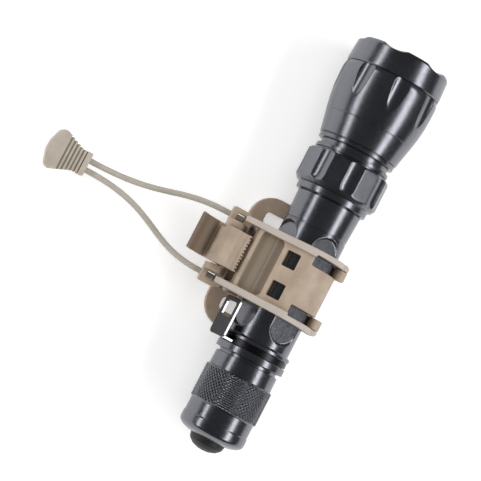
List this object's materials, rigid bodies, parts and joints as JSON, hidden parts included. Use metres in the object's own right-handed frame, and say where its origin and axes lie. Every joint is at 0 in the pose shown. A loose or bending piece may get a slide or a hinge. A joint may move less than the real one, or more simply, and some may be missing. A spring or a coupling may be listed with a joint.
{
  "type": "tactical flashlight in webbing holder",
  "caption": "Aluminium tactical flashlight clamped in a hinged plastic saddle on a hooked webbing plate, with an elastic cord and pull tab.",
  "frame": {"origin": "on the flat back of the webbing plate, straight below the light's axis and at the middle of the clamp's width", "axes": "+X along the light's axis towards its head; +Y across the clamp towards the latch and the pull cord; +Z away from the webbing plate"},
  "size_m": [0.1671, 0.1236, 0.0396],
  "materials": {
    "black_anodised": "hard anodised, satin black",
    "holder_plastic": "injection moulded, fine matt, desert tan",
    "tab_plastic": "injection moulded, matt, light tan",
    "cord_fabric": "braided elastic cord, tan",
    "spring_steel": "dark satin spring steel with bright edges",
    "pin_steel": "ground stainless steel",
    "brass": "turned brass",
    "gold_plated": "gold plated contact spring",
    "board_green": "solder mask",
    "board_white": "white metal-core board",
    "cell_can": "nickel plated steel can",
    "cell_wrap": "plain blue shrink sleeve",
    "black_rubber": "matt moulded rubber",
    "clear_glass": "coated clear glass",
    "mirror_coat": "vacuum metallised, orange peel",
    "black_plastic": "moulded black plastic"
  },
  "bodies": {
    "holder": {"holder_base": "holder_plastic", "hinge_pin": "pin_steel", "latch_pin": "pin_steel", "bungee_cord": "cord_fabric"},
    "clamp": {"clamp_saddle": "holder_plastic"},
    "latch": {"latch_lever": "holder_plastic"},
    "light": {"barrel": "black_anodised", "neck_collar": "black_anodised", "led_pill": "brass", "driver_board": "board_green", "led_board": "board_white", "front_contact_spring": "gold_plated", "battery_cell": "cell_can", "battery_wrap": "cell_wrap", "pocket_clip": "spring_steel", "tail_o_ring": "black_rubber", "head_o_ring": "black_rubber", "collar_o_ring": "black_rubber"},
    "head_travel": {"reflector": "mirror_coat"},
    "head": {"head_bell": "black_anodised", "bezel_ring": "black_anodised", "lens": "clear_glass", "lens_o_ring": "black_rubber"},
    "tail_travel": {"switch_body": "black_plastic", "tail_spring": "gold_plated"},
    "tail": {"tail_cap": "black_anodised", "switch_retainer": "pin_steel"},
    "button": {"switch_button": "black_plastic", "switch_boot": "black_rubber"},
    "tab": {"pull_tab": "tab_plastic", "tab_plug": "tab_plastic"}
  },
  "joints": [
    {"name": "clamp_open", "type": "hinge", "parent": "holder", "child": "clamp", "pos_m": [0, -0.0152, 0.024], "axis": [1, 0, 0], "range_deg": [0, 100]},
    {"name": "latch_open", "type": "hinge", "parent": "holder", "child": "latch", "pos_m": [0, 0.028, 0.0216], "axis": [-1, 0, 0], "range_deg": [0, 35]},
    {"name": "light_turn", "type": "hinge", "parent": "holder", "child": "light", "pos_m": [0, 0, 0.02], "axis": [1, 0, 0], "range_deg": [-60, 200]},
    {"name": "head_move", "type": "slide", "parent": "light", "child": "head_travel", "axis": [1, 0, 0], "range_m": [0, 0.00626]},
    {"name": "head_turn", "type": "hinge", "parent": "head_travel", "child": "head", "pos_m": [0, 0, 0.02], "axis": [1, 0, 0], "range_deg": [0, 1800]},
    {"name": "tail_move", "type": "slide", "parent": "light", "child": "tail_travel", "axis": [-1, 0, 0], "range_m": [0, 0.00751]},
    {"name": "tail_turn", "type": "hinge", "parent": "tail_travel", "child": "tail", "pos_m": [0, 0, 0.02], "axis": [-1, 0, 0], "range_deg": [0, 2160]},
    {"name": "switch_press", "type": "slide", "parent": "tail", "child": "button", "axis": [1, 0, 0], "range_m": [0, 0.0015], "stiffness_N_per_m": 1500, "springref_m": -0.001},
    {"name": "tab_pull", "type": "slide", "parent": "holder", "child": "tab", "axis": [0, 1, 0], "range_m": [0, 0.045], "stiffness_N_per_m": 120, "deforming": ["bungee_cord"]}
  ],
  "couplings": [
    {"joint": "head_move", "follows": "head_turn", "m_per_rad": 0.00019894},
    {"joint": "tail_move", "follows": "tail_turn", "m_per_rad": 0.00019894}
  ]
}
